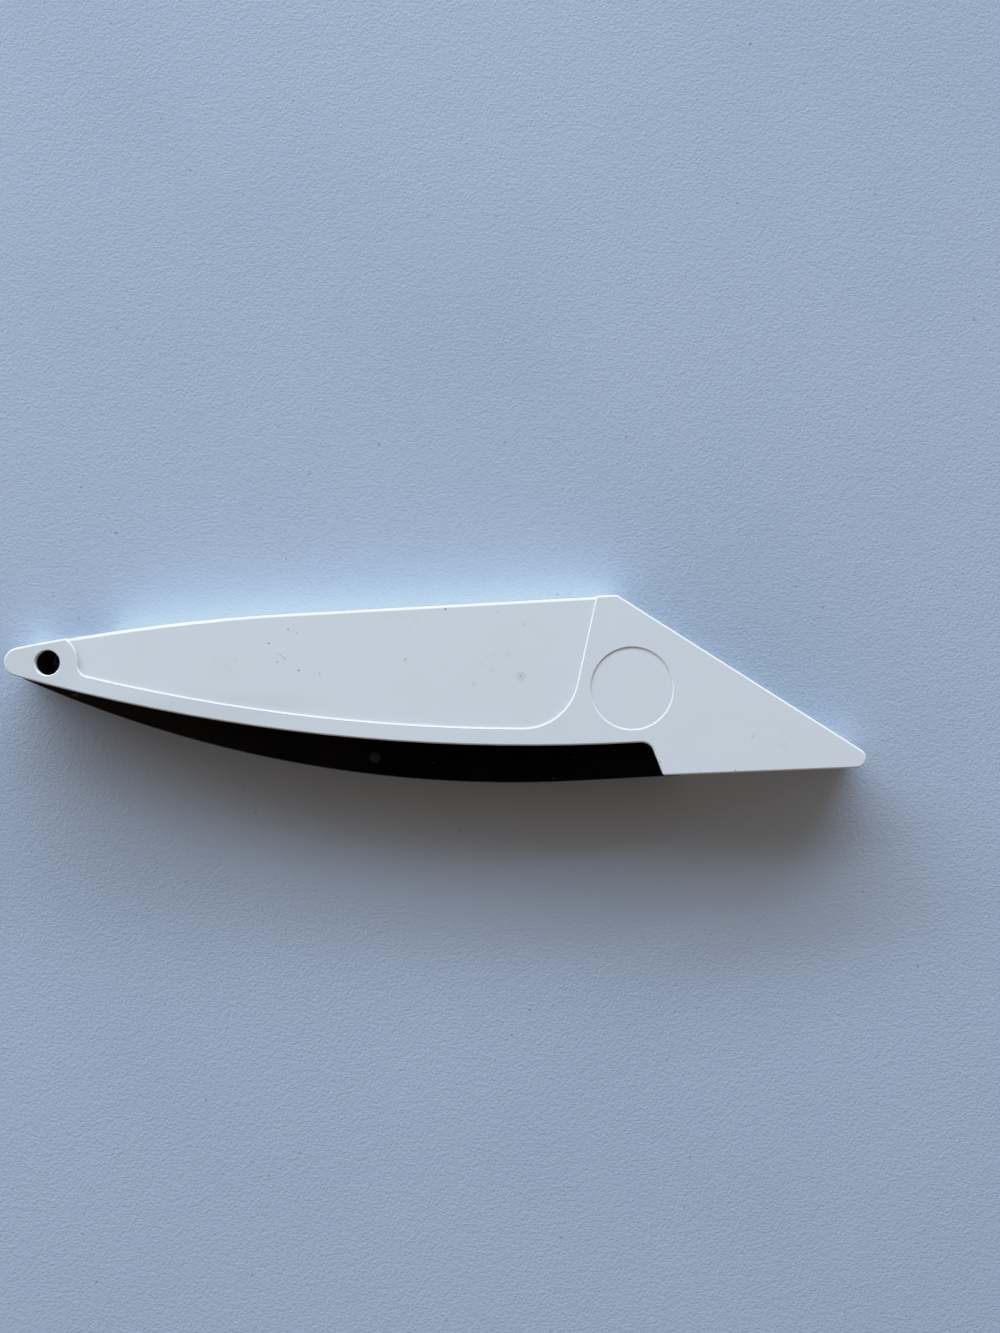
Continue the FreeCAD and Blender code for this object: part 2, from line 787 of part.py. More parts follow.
def make_sharpener_carrier():
    """Cradle in the bar's pocket with end walls and a web for the pin."""
    top = pin_y + arm_hub_radius
    end_x = carrier_x + carrier_length
    solid = block(V(carrier_x, tongue_floor_top, -carrier_half), V(end_x, carrier_floor_top, carrier_half))
    walls = [
        (carrier_x, carrier_x + carrier_wall, carrier_half),
        (end_x - carrier_wall, end_x, carrier_half),
        (front_arm_x + arm_width + arm_gap, rear_arm_x - arm_gap, arm_hub_radius),
    ]
    for begin, end, half in walls:
        solid = solid.fuse(block(V(begin, tongue_floor_top, -half), V(end, top, half)))
    ridge_outer = carrier_half - arm_spring_thickness - pocket_gap
    ridge = block(
        V(front_arm_x, tongue_floor_top, ridge_outer - carrier_ridge_width),
        V(front_arm_x + arm_width, carrier_floor_top + carrier_ridge_height, ridge_outer),
    )
    solid = solid.fuse([ridge, mirrored(ridge).translated(V(rear_arm_x - front_arm_x, 0, 0))])
    seat = Part.makeCylinder(
        pin_radius + pin_seat_clearance, carrier_length, V(carrier_x, pin_y, 0), V(1, 0, 0)
    )
    return solid.cut(seat).removeSplitter()


def make_arm_pin():
    """Steel pin that both arms turn on."""
    return Part.makeCylinder(pin_radius, carrier_length, V(carrier_x, pin_y, 0), V(1, 0, 0))


def leaned(shape):
    """Front arm's shape leaned out from upright about its pin."""
    return shape.rotate(V(0, pin_y, 0), V(1, 0, 0), math.degrees(arm_lean))


def to_rear(shape):
    """Front arm's shape moved to the rear arm's place."""
    return mirrored(shape).translated(V(rear_arm_x - front_arm_x, 0, 0))


def make_stone_arm():
    """Front arm: hub, heel that rests on the carrier and a back that holds the rod."""
    end_x = front_arm_x + arm_width
    inner = rod_offset - rod_radius - arm_front
    outer = rod_offset + rod_radius + arm_back
    stalk = block(V(front_arm_x, pin_y, inner), V(end_x, pin_y + arm_length, outer))
    relief = block(V(front_arm_x, pin_y + arm_relief_from, inner), V(end_x, pin_y + arm_length, rod_offset))
    stalk = leaned(stalk.cut(relief))
    hub = Part.makeCylinder(arm_hub_radius, arm_width, V(front_arm_x, pin_y, 0), V(1, 0, 0))
    heel = block(
        V(front_arm_x, carrier_floor_top + arm_heel_gap, -arm_heel_length),
        V(end_x, pin_y, 0),
    )
    hole = Part.makeCylinder(
        pin_radius + pin_running_clearance, arm_width, V(front_arm_x, pin_y, 0), V(1, 0, 0)
    )
    return stalk.fuse([hub, heel]).cut([hole, rod_shape(rod_clearance)]).removeSplitter()


def rod_shape(clearance):
    """Front rod in its arm, or its bore with a clearance."""
    middle = front_arm_x + arm_width / 2
    foot = pin_y + rod_foot - clearance
    upright = Part.makeCylinder(rod_radius + clearance, rod_length, V(middle, foot, rod_offset), V(0, 1, 0))
    return leaned(upright)


def strip(points, thickness, width):
    """Bent strip of even thickness along points in the YZ plane, extruded along X."""
    ways = [(end - start).normalize() for start, end in zip(points, points[1:])]
    sides = [V(0, -way.z, way.y) for way in ways]
    left = []
    right = []
    for index, point in enumerate(points):
        before = sides[max(index - 1, 0)]
        after = sides[min(index, len(sides) - 1)]
        mitre = (before + after) * (thickness / 2 / (1 + before.dot(after)))
        left.append(point + mitre)
        right.append(point - mitre)
    return polygon(left + right[::-1]).extrude(V(width, 0, 0))


def make_arm_spring():
    """Front leaf spring: stands between the carrier's ridge and the bar, and leans on the arm's back."""
    upright_z = carrier_half - arm_spring_thickness / 2
    touch_z = rod_offset + rod_radius + arm_back + arm_spring_contact_gap + arm_spring_thickness / 2
    lean_cos, lean_sin = math.cos(arm_lean), math.sin(arm_lean)
    touch = V(
        0,
        pin_y + arm_spring_contact * lean_cos - touch_z * lean_sin,
        arm_spring_contact * lean_sin + touch_z * lean_cos,
    )
    foot_y = carrier_floor_top + arm_spring_foot_gap
    points = [
        V(0, foot_y, upright_z),
        V(0, foot_y + arm_spring_upright, upright_z),
        touch,
        touch + V(0, arm_spring_curl, arm_spring_curl * math.tan(arm_spring_curl_lean)),
    ]
    leaf = strip(points, arm_spring_thickness, arm_spring_width)
    return leaf.translated(V(front_arm_x + (arm_width - arm_spring_width) / 2, 0, 0))


def make_blade_spring():
    """Front bowed leaf spring: flat feet on the cover and a bow that presses on the blade."""
    end = blade_spring_start()
    start = end - blade_spring_span
    foot_z = inner_half
    bow_half = blade_spring_span / 2 - blade_spring_foot
    rise = foot_z - blade_spring_thickness - blade_spring_peak
    radius = (bow_half**2 + rise**2) / (2 * rise)
    middle = (start + end) / 2
    centre_z = blade_spring_peak + radius
    inner_radius = radius - blade_spring_thickness
    lower_z = foot_z - blade_spring_thickness
    back_half = math.sqrt(inner_radius**2 - (centre_z - foot_z) ** 2)
    low_y = blade_spring_height - blade_spring_width / 2

    def at(along, height):
        return V(along, low_y, height)

    edges = [
        line(at(start, foot_z), at(start, lower_z)),
        line(at(start, lower_z), at(middle - bow_half, lower_z)),
        Part.Arc(
            at(middle - bow_half, lower_z), at(middle, blade_spring_peak), at(middle + bow_half, lower_z)
        ).toShape(),
        line(at(middle + bow_half, lower_z), at(end, lower_z)),
        line(at(end, lower_z), at(end, foot_z)),
        line(at(end, foot_z), at(middle + back_half, foot_z)),
        Part.Arc(
            at(middle + back_half, foot_z),
            at(middle, blade_spring_peak + blade_spring_thickness),
            at(middle - back_half, foot_z),
        ).toShape(),
        line(at(middle - back_half, foot_z), at(start, foot_z)),
    ]
    leaf = outline_face(edges).extrude(V(0, blade_spring_width, 0))
    hole = Part.makeCylinder(
        blade_spring_hole, case_thickness, V(end - blade_spring_foot / 2, blade_spring_height, 0)
    )
    return leaf.cut(hole)


def main():
    """Makes every piece and writes one file for each."""
    arm = make_stone_arm()
    rod = rod_shape(0)
    arm_leaf = make_arm_spring()
    blade_leaf = make_blade_spring()
    pieces = {
        "front_cover": make_front_cover(),
        "rear_cover": make_rear_cover(),
        "pivot_bush": make_pivot_bush(),
        "hinge_eye": make_hinge_eye(),
        "squeeze_bar": make_squeeze_bar(),
        "return_spring_front": make_return_spring(1),
        "return_spring_rear": make_return_spring(-1),
        "sharpener_carrier": make_sharpener_carrier(),
        "arm_pin": make_arm_pin(),
        "stone_arm_front": arm,
        "stone_arm_rear": to_rear(arm),
        "honing_rod_front": rod,
        "honing_rod_rear": to_rear(rod),
        "arm_spring_front": arm_leaf,
        "arm_spring_rear": to_rear(arm_leaf),
        "blade_spring_front": blade_leaf,
        "blade_spring_rear": mirrored(blade_leaf),
    }
    os.makedirs("parts", exist_ok=True)
    for name, shape in pieces.items():
        print(name, shape.isValid(), len(shape.Solids), round(shape.Volume, 2))
        shape.exportStep(os.path.join("parts", name + ".step"))


main()
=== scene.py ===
"""Looks of the knife blade guard: finishes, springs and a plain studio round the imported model.

Metres, in the model's own frame: X runs along the blade from the hang hole to the mouth,
Y from the cutting edge to the spine and Z out of the front cover.
"""
import logging
import math
from dataclasses import dataclass, field
from enum import Enum

import bmesh
import bpy
from mathutils import Matrix, Vector


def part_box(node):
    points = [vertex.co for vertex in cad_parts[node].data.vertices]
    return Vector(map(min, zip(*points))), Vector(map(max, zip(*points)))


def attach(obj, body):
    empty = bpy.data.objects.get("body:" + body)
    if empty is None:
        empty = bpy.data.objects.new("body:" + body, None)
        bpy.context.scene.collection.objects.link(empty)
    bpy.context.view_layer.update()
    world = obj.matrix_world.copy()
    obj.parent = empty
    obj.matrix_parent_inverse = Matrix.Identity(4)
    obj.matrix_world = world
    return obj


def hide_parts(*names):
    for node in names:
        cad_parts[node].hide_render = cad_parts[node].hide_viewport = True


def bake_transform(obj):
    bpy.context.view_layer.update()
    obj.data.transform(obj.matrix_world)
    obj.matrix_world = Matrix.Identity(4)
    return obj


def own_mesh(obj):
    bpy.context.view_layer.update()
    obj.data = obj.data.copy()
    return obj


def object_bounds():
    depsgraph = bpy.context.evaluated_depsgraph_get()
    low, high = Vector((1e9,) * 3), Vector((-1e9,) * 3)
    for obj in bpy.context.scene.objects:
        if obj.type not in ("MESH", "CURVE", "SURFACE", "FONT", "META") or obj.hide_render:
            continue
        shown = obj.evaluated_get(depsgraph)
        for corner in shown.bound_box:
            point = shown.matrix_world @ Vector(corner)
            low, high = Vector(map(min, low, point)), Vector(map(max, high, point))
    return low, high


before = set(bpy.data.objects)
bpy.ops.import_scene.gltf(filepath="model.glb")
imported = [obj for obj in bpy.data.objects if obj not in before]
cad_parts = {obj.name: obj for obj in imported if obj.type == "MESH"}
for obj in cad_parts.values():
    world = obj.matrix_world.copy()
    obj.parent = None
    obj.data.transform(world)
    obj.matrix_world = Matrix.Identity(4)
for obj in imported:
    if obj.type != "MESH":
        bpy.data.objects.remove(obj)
CAD_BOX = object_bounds()

MM = 0.001
LOG = logging.getLogger("blade_guard")

# Blender's number of the view curve that works on red, green and blue alike.
ALL_CHANNELS = 3

Colour = tuple[float, float, float]


class Side(Enum):
    """Side of the parting plane that a piece belongs to."""

    FRONT = "front"
    REAR = "rear"

    @property
    def sign(self) -> float:
        """Direction of the side along Z."""
        return 1.0 if self is Side.FRONT else -1.0


class Effect(Enum):
    """Surface effects that several finishes share, each a node group."""

    GRAIN = "moulded_grain"
    SMUDGES = "soft_smudges"
    SPECKS = "dust_specks"
    SCRATCHES = "hairline_scratches"
    EDGE_RUB = "edge_rub"


class NodeSheet:
    """Short way to add and join the nodes of one material, effect or world."""

    def __init__(self, tree: bpy.types.NodeTree) -> None:
        """Starts on an empty node tree."""
        tree.nodes.clear()
        self.tree = tree

    def add(self, kind: str, **settings: object) -> bpy.types.Node:
        """Adds a node.

        Args:
            kind: Blender's name of the node type.
            settings: Properties of the node, by name.

        Returns:
            The new node.
        """
        node = self.tree.nodes.new(kind)
        for name, value in settings.items():
            setattr(node, name, value)
        return node

    def feed(self, socket: bpy.types.NodeSocket, value: object) -> None:
        """Joins an output to an input, or sets the input's own value.

        Args:
            socket: Input socket.
            value: Output socket, number, colour or vector.
        """
        if isinstance(value, bpy.types.NodeSocket):
            self.tree.links.new(value, socket)
        elif socket.type == "RGBA":
            socket.default_value = (*value, 1.0)
        else:
            socket.default_value = value

    def math(self, operation: str, *values: object, clamp: bool = False) -> bpy.types.NodeSocket:
        """Adds a sum of one to three values.

        Args:
            operation: Blender's name of the sum.
            values: Numbers or outputs, in the order of the inputs.
            clamp: Whether the result stays from 0 to 1.

        Returns:
            The result.
        """
        node = self.add("ShaderNodeMath", operation=operation, use_clamp=clamp)
        for socket, value in zip(node.inputs, values):
            self.feed(socket, value)
        return node.outputs[0]

    def fade(self, value: object, low: object, high: object) -> bpy.types.NodeSocket:
        """Adds a smooth step.

        Args:
            value: Value that is compared.
            low: Where the step is 0.
            high: Where the step is 1; it may lie below low.

        Returns:
            The step, from 0 to 1.
        """
        node = self.add("ShaderNodeMapRange", interpolation_type="SMOOTHSTEP")
        for name, given in (("Value", value), ("From Min", low), ("From Max", high)):
            self.feed(node.inputs[name], given)
        return node.outputs["Result"]

    def mix_colour(self, share: object, first: object, second: object) -> bpy.types.NodeSocket:
        """Adds a blend of two colours.

        Args:
            share: How much of the second colour there is, from 0 to 1.
            first: Colour where the share is 0.
            second: Colour where the share is 1.

        Returns:
            The blended colour.
        """
        node = self.add("ShaderNodeMix", data_type="RGBA")
        colours = [socket for socket in node.inputs if socket.type == "RGBA"]
        self.feed(node.inputs[0], share)
        self.feed(colours[0], first)
        self.feed(colours[1], second)
        return next(socket for socket in node.outputs if socket.type == "RGBA")

    def noise(self, vector: object, scale: object, detail: float) -> bpy.types.NodeSocket:
        """Adds a cloudy noise.

        Args:
            vector: Place on the object.
            scale: Clouds in a metre.
            detail: How many finer layers it has.

        Returns:
            The noise, from 0 to 1.
        """
        node = self.add("ShaderNodeTexNoise")
        for name, value in (("Vector", vector), ("Scale", scale), ("Detail", detail)):
            self.feed(node.inputs[name], value)
        return node.outputs[0]

    def stretched(self, vector: object, factors: tuple[float, float, float]) -> bpy.types.NodeSocket:
        """Adds a place scaled along each axis.

        Args:
            vector: Place on the object.
            factors: Scale along X, Y and Z.

        Returns:
            The scaled place.
        """
        node = self.add("ShaderNodeVectorMath", operation="MULTIPLY")
        self.feed(node.inputs[0], vector)
        self.feed(node.inputs[1], factors)
        return node.outputs["Vector"]


class EffectShelf:
    """Node groups of the shared effects, each built the first time that a finish asks for it."""

    inputs: dict[Effect, dict[str, float]] = {
        Effect.GRAIN: {"Scale": 1000.0},
        Effect.SMUDGES: {"Scale": 60.0, "Low": 0.45, "High": 0.7},
        Effect.SPECKS: {"Scale": 200.0, "Radius": 0.2, "Share": 0.05},
        Effect.SCRATCHES: {"Scale": 40.0, "Width": 0.05 * MM, "Length": 4 * MM, "Share": 0.3},
        Effect.EDGE_RUB: {"Reach": 0.4 * MM, "Scale": 300.0},
    }
    outputs: dict[Effect, str] = {
        Effect.GRAIN: "Height",
        Effect.SMUDGES: "Mask",
        Effect.SPECKS: "Mask",
        Effect.SCRATCHES: "Mask",
        Effect.EDGE_RUB: "Mask",
    }
    fine_ratio: float = 3.1
    fine_share: float = 0.35
    speck_core: float = 0.5
    scratch_plane: tuple[float, float, float] = (1.0, 1.0, 0.02)
    scratch_fan: float = 2.4
    scratch_core: float = 0.4
    rub_samples: int = 6
    rub_bend: tuple[float, float] = (0.02, 0.2)
    rub_patches: tuple[float, float] = (0.4, 0.65)

    def __init__(self) -> None:
        """Starts with no group built."""
        self.groups: dict[Effect, bpy.types.NodeTree] = {}

    def group(self, effect: Effect) -> bpy.types.NodeTree:
        """Gives the node group of an effect.

        Args:
            effect: Effect that a finish uses.

        Returns:
            The group, built once.
        """
        if effect not in self.groups:
            tree = bpy.data.node_groups.new(effect.value, "ShaderNodeTree")
            tree.interface.new_socket("Place", in_out="INPUT", socket_type="NodeSocketVector")
            for name, value in self.inputs[effect].items():
                socket = tree.interface.new_socket(name, in_out="INPUT", socket_type="NodeSocketFloat")
                socket.default_value = value
            tree.interface.new_socket(
                self.outputs[effect], in_out="OUTPUT", socket_type="NodeSocketFloat"
            )
            sheet = NodeSheet(tree)
            given = sheet.add("NodeGroupInput").outputs
            result = getattr(self, effect.value)(sheet, given)
            sheet.feed(sheet.add("NodeGroupOutput").inputs[0], result)
            self.groups[effect] = tree
        return self.groups[effect]

    def moulded_grain(self, sheet: NodeSheet, given: bpy.types.NodeOutputs) -> bpy.types.NodeSocket:
        """Lays out the fine texture that a mould leaves on plastic.

        Args:
            sheet: Sheet of the group.
            given: Inputs of the group.

        Returns:
            Height of the surface.
        """
        coarse = sheet.noise(given["Place"], given["Scale"], 2.0)
        finer = sheet.math("MULTIPLY", given["Scale"], self.fine_ratio)
        fine = sheet.noise(given["Place"], finer, 1.0)
        return sheet.math("MULTIPLY_ADD", fine, self.fine_share, coarse)

    def soft_smudges(self, sheet: NodeSheet, given: bpy.types.NodeOutputs) -> bpy.types.NodeSocket:
        """Lays out the blurred patches that handling leaves.

        Args:
            sheet: Sheet of the group.
            given: Inputs of the group.

        Returns:
            Mask of the patches.
        """
        cloud = sheet.noise(given["Place"], given["Scale"], 3.0)
        return sheet.fade(cloud, given["Low"], given["High"])

    def dust_specks(self, sheet: NodeSheet, given: bpy.types.NodeOutputs) -> bpy.types.NodeSocket:
        """Lays out scattered round specks of several sizes.

        Args:
            sheet: Sheet of the group.
            given: Inputs of the group.

        Returns:
            Mask of the specks.
        """
        cells = sheet.add("ShaderNodeTexVoronoi")
        sheet.feed(cells.inputs["Vector"], given["Place"])
        sheet.feed(cells.inputs["Scale"], given["Scale"])
        draws = sheet.add("ShaderNodeSeparateColor")
        sheet.feed(draws.inputs[0], cells.outputs["Color"])
        chosen = sheet.math("LESS_THAN", draws.outputs["Red"], given["Share"])
        rim = sheet.math("MULTIPLY", given["Radius"], draws.outputs["Green"])
        core = sheet.math("MULTIPLY", rim, self.speck_core)
        spot = sheet.fade(cells.outputs["Distance"], rim, core)
        return sheet.math("MULTIPLY", spot, chosen)

    def hairline_scratches(self, sheet: NodeSheet, given: bpy.types.NodeOutputs) -> bpy.types.NodeSocket:
        """Lays out short thin scratches that run mostly along X.

        Args:
            sheet: Sheet of the group.
            given: Inputs of the group.

        Returns:
            Mask of the scratches.
        """
        flat = sheet.stretched(given["Place"], self.scratch_plane)
        cells = sheet.add("ShaderNodeTexVoronoi")
        sheet.feed(cells.inputs["Vector"], flat)
        sheet.feed(cells.inputs["Scale"], given["Scale"])
        draws = sheet.add("ShaderNodeSeparateColor")
        sheet.feed(draws.inputs[0], cells.outputs["Color"])
        offset = sheet.add("ShaderNodeVectorMath", operation="SUBTRACT")
        sheet.feed(offset.inputs[0], flat)
        sheet.feed(offset.inputs[1], cells.outputs["Position"])
        split = sheet.add("ShaderNodeSeparateXYZ")
        sheet.feed(split.inputs[0], offset.outputs["Vector"])
        angle = sheet.math("MULTIPLY_ADD", draws.outputs["Red"], self.scratch_fan, -self.scratch_fan / 2)
        cosine = sheet.math("COSINE", angle)
        sine = sheet.math("SINE", angle)
        x, y = split.outputs["X"], split.outputs["Y"]
        along = sheet.math("MULTIPLY_ADD", y, sine, sheet.math("MULTIPLY", x, cosine))
        aside = sheet.math("MULTIPLY", x, sine)
        across = sheet.math("SUBTRACT", sheet.math("MULTIPLY", y, cosine), aside)
        line = sheet.fade(sheet.math("ABSOLUTE", across), given["Width"], 0.0)
        reach = sheet.math("MULTIPLY", given["Length"], draws.outputs["Blue"])
        core = sheet.math("MULTIPLY", reach, self.scratch_core)
        ends = sheet.fade(sheet.math("ABSOLUTE", along), reach, core)
        chosen = sheet.math("LESS_THAN", draws.outputs["Green"], given["Share"])
        return sheet.math("MULTIPLY", sheet.math("MULTIPLY", line, ends), chosen)

    def edge_rub(self, sheet: NodeSheet, given: bpy.types.NodeOutputs) -> bpy.types.NodeSocket:
        """Lays out the wear along outer edges, broken up by noise.

        Args:
            sheet: Sheet of the group.
            given: Inputs of the group.

        Returns:
            Mask of the worn edges.
        """
        rounded = sheet.add("ShaderNodeBevel", samples=self.rub_samples)
        sheet.feed(rounded.inputs["Radius"], given["Reach"])
        flat = sheet.add("ShaderNodeNewGeometry")
        turn = sheet.add("ShaderNodeVectorMath", operation="DOT_PRODUCT")
        sheet.feed(turn.inputs[0], rounded.outputs["Normal"])
        sheet.feed(turn.inputs[1], flat.outputs["Normal"])
        bend = sheet.math("SUBTRACT", 1.0, turn.outputs["Value"])
        edges = sheet.fade(bend, *self.rub_bend)
        patches = sheet.noise(given["Place"], given["Scale"], 3.0)
        return sheet.math("MULTIPLY", edges, sheet.fade(patches, *self.rub_patches))


EFFECTS = EffectShelf()


class Surface:
    """One material on its way: a sheet with the shader, the place on the object and what feeds them."""

    def __init__(self, name: str) -> None:
        """Starts a material with a plain shader.

        Args:
            name: Name of the material.
        """
        self.material = bpy.data.materials.new(name)
        self.material.use_nodes = True
        self.sheet = NodeSheet(self.material.node_tree)
        self.shader = self.sheet.add("ShaderNodeBsdfPrincipled")
        output = self.sheet.add("ShaderNodeOutputMaterial")
        self.sheet.feed(output.inputs["Surface"], self.shader.outputs[0])
        self.place = self.sheet.add("ShaderNodeTexCoord").outputs["Object"]
        split = self.sheet.add("ShaderNodeSeparateXYZ")
        self.sheet.feed(split.inputs[0], self.place)
        self.x, self.y, self.z = split.outputs

    def effect(self, effect: Effect, **values: float) -> bpy.types.NodeSocket:
        """Places a shared effect on the material.

        Args:
            effect: Effect to place.
            values: Inputs of its group, by name.

        Returns:
            The mask or height that it gives.
        """
        node = self.sheet.add("ShaderNodeGroup", node_tree=EFFECTS.group(effect))
        self.sheet.feed(node.inputs["Place"], self.place)
        for name, value in values.items():
            self.sheet.feed(node.inputs[name], value)
        return node.outputs[0]

    def spot(self, mark: "Mark") -> bpy.types.NodeSocket:
        """Makes a mask of one mark.

        Args:
            mark: Place and size of the mark.

        Returns:
            The mask, 1 in the middle of the mark.
        """
        aside = self.sheet.math("SUBTRACT", self.x, mark.x * MM)
        across = self.sheet.math("DIVIDE", aside, mark.stretch)
        up = self.sheet.math("SUBTRACT", self.y, mark.y * MM)
        rim = mark.radius * MM
        square = self.sheet.math("MULTIPLY", across, across)
        square = self.sheet.math("MULTIPLY_ADD", up, up, square)
        return self.sheet.fade(square, rim**2, (mark.core * rim) ** 2)

    def spots(self, marks: tuple["Mark", ...]) -> bpy.types.NodeSocket:
        """Makes a mask that is set where any of several marks is.

        Args:
            marks: Marks to join.

        Returns:
            The mask.
        """
        joined = self.spot(marks[0])
        for mark in marks[1:]:
            joined = self.sheet.math("MAXIMUM", joined, self.spot(mark))
        return joined

    def layered(self, base: object, *layers: tuple[object, float, Colour]) -> bpy.types.NodeSocket:
        """Lays colours over a base one.

        Args:
            base: Colour where no mask is set.
            layers: From the lowest up, each a mask with its strength and its colour.

        Returns:
            The blended colour.
        """
        colour = base
        for mask, strength, over in layers:
            share = self.sheet.math("MULTIPLY", mask, strength)
            colour = self.sheet.mix_colour(share, colour, over)
        return colour

    def weighted(self, base: float, *terms: tuple[object, float]) -> bpy.types.NodeSocket:
        """Adds masks to a number.

        Args:
            base: Number where no mask is set.
            terms: Masks, each with what it adds.

        Returns:
            The sum, from 0 to 1.
        """
        total: object = base
        for mask, amount in terms:
            total = self.sheet.math("MULTIPLY_ADD", mask, amount, total, clamp=True)
        return total

    def finish(
        self, colour: object, roughness: object, height: object, depth: float, **plain: object
    ) -> None:
        """Joins what was laid out to the shader.

        Args:
            colour: Base colour.
            roughness: Roughness.
            height: Relief of the surface, from 0 to 1.
            depth: What the relief's full height is in metres.
            plain: Other inputs of the shader that are the same all over, by name.
        """
        self.sheet.feed(self.shader.inputs["Base Color"], colour)
        self.sheet.feed(self.shader.inputs["Roughness"], roughness)
        bump = self.sheet.add("ShaderNodeBump")
        self.sheet.feed(bump.inputs["Strength"], 1.0)
        self.sheet.feed(bump.inputs["Distance"], depth)
        self.sheet.feed(bump.inputs["Height"], height)
        self.sheet.feed(self.shader.inputs["Normal"], bump.outputs["Normal"])
        for name, value in plain.items():
            self.sheet.feed(self.shader.inputs[name.replace("_", " ")], value)


@dataclass(frozen=True)
class Mark:
    """Mark on a front face: its middle and half its height in millimetres, and its form.

    The stretch is its length over its height, and the core is the share of it that is set in full.
    """

    x: float
    y: float
    radius: float
    stretch: float = 1.0
    core: float = 0.4


@dataclass(frozen=True)
class ShellFinish:
    """White moulded plastic: a gloss frame, a satin panel, the marks of use, darker areas at the tip and
    the lower band, painted shade on the side walls and a seam line of dirt and painted shade.
    """

    white: Colour = (0.83, 0.83, 0.825)
    frame_white: Colour = (0.838, 0.838, 0.834)
    # Painted shade: the side walls below the top faces get a darker white, so they look less bright and
    # throw less light onto the table.
    flank_painted_shade: Colour = (0.68, 0.68, 0.672)
    flank_shade_top: float = 7.2 * MM
    flank_shade_fade: float = 0.6 * MM
    handled: Colour = (0.77, 0.765, 0.75)
    speck: Colour = (0.2, 0.17, 0.15)
    scuff: Colour = (0.52, 0.5, 0.48)
    # Seam line: real dirt in the joint together with painted shade that darkens it.
    seam_dirt_and_shade: Colour = (0.13, 0.12, 0.11)
    seam_half: float = 0.13 * MM
    gloss_roughness: float = 0.24
    satin_roughness: float = 0.42
    panel_height: float = 7.55 * MM
    panel_band: float = 0.1 * MM
    grain_depth: float = 0.006 * MM
    specks: tuple[Mark, ...] = (
        Mark(74.8, 3.6, 0.4),
        Mark(81.5, 8.1, 0.34),
        Mark(84.6, -5.9, 0.4),
        Mark(91.6, -7.3, 0.28),
        Mark(120.7, -3.6, 0.36),
        Mark(205.2, -41.6, 0.3),
        Mark(230.4, -45.4, 0.3),
        Mark(77.5, -2.8, 0.28),
        Mark(84.3, 7.0, 0.24),
        Mark(135.0, 12.8, 0.36),
        Mark(159.4, -10.8, 0.28),
    )
    hair: tuple[Mark, ...] = (
        Mark(77.7, 0.0, 0.2),
        Mark(78.7, -0.5, 0.22),
        Mark(79.5, -1.2, 0.24),
        Mark(80.0, -1.9, 0.28),
    )
    smudges: tuple[Mark, ...] = (
        Mark(134.6, 12.7, 0.8),
        Mark(143.5, -13.0, 0.8),
        Mark(161.1, 6.5, 0.8),
        Mark(159.4, -10.9, 2.2),
        Mark(152.5, 11.1, 0.7),
        Mark(236.8, -34.4, 0.9),
    )
    scuffed: tuple[Mark, ...] = (
        Mark(249.0, -35.5, 5.5, 2.4, 0.1),
        Mark(152.0, -6.0, 7.0, 1.6, 0.1),
        Mark(118.0, 9.0, 5.0, 2.2, 0.1),
        Mark(62.0, -4.0, 5.0, 2.6, 0.1),
    )
    # Broad areas at the tip and along the lower band that are made darker with the handled tone.
    darkened_areas: tuple[Mark, ...] = (
        Mark(-4.0, 0.0, 16.0, 1.2, 0.2),
        Mark(52.0, -18.0, 8.0, 6.0, 0.2),
    )

    def material(self, side: Side) -> bpy.types.Material:
        """Makes the shell's material for one cover.

        Args:
            side: Cover that it is for; the placed marks are on the front one.

        Returns:
            The material.
        """
        surface = Surface(f"white_shell_{side.value}")
        sheet = surface.sheet
        level = sheet.math("ABSOLUTE", surface.z)
        panel = sheet.math("COMPARE", level, self.panel_height, self.panel_band)
        smudged = surface.effect(Effect.SMUDGES, Scale=55.0, Low=0.5, High=0.8)
        dust = surface.effect(Effect.SPECKS, Scale=240.0, Radius=0.065, Share=0.3)
        scratched = surface.effect(
            Effect.SCRATCHES, Scale=90.0, Width=0.07 * MM, Length=5 * MM, Share=0.22
        )
        rubbed = surface.effect(Effect.EDGE_RUB, Reach=0.5 * MM, Scale=260.0)
        # Mask of the painted shade on the side walls, below the top faces.
        flank_shade_mask = sheet.fade(level, self.flank_shade_top, self.flank_shade_top - self.flank_shade_fade)
        # Mask of the seam line where the covers meet: dirt and painted shade.
        seam_dirt_and_shade_mask = sheet.math("LESS_THAN", level, self.seam_half)
        colour = surface.layered(
            self.frame_white,
            (panel, 1.0, self.white),
            (flank_shade_mask, 1.0, self.flank_painted_shade),
            (smudged, 0.35, self.handled),
            (scratched, 0.14, self.scuff),
            (rubbed, 0.1, self.scuff),
            (dust, 0.45, self.speck),
            (seam_dirt_and_shade_mask, 0.85, self.seam_dirt_and_shade),
        )
        if side is Side.FRONT:
            mottles = surface.effect(Effect.SMUDGES, Scale=420.0, Low=0.5, High=0.72)
            colour = surface.layered(
                colour,
                (surface.spots(self.darkened_areas), 0.75, self.handled),
                (sheet.math("MULTIPLY", mottles, surface.spots(self.scuffed)), 0.13, self.scuff),
                (surface.spots(self.smudges), 0.28, self.scuff),
                (surface.spots(self.specks + self.hair), 0.85, self.speck),
            )
        roughness = surface.weighted(
            self.gloss_roughness,
            (panel, self.satin_roughness - self.gloss_roughness),
            (smudged, 0.08),
            (scratched, 0.1),
            (rubbed, 0.12),
        )
        grain = surface.effect(Effect.GRAIN, Scale=1400.0)
        grain = sheet.math("MULTIPLY", grain, surface.weighted(0.25, (panel, 0.75)))
        surface.finish(colour, roughness, grain, self.grain_depth, IOR=1.49)
        return surface.material


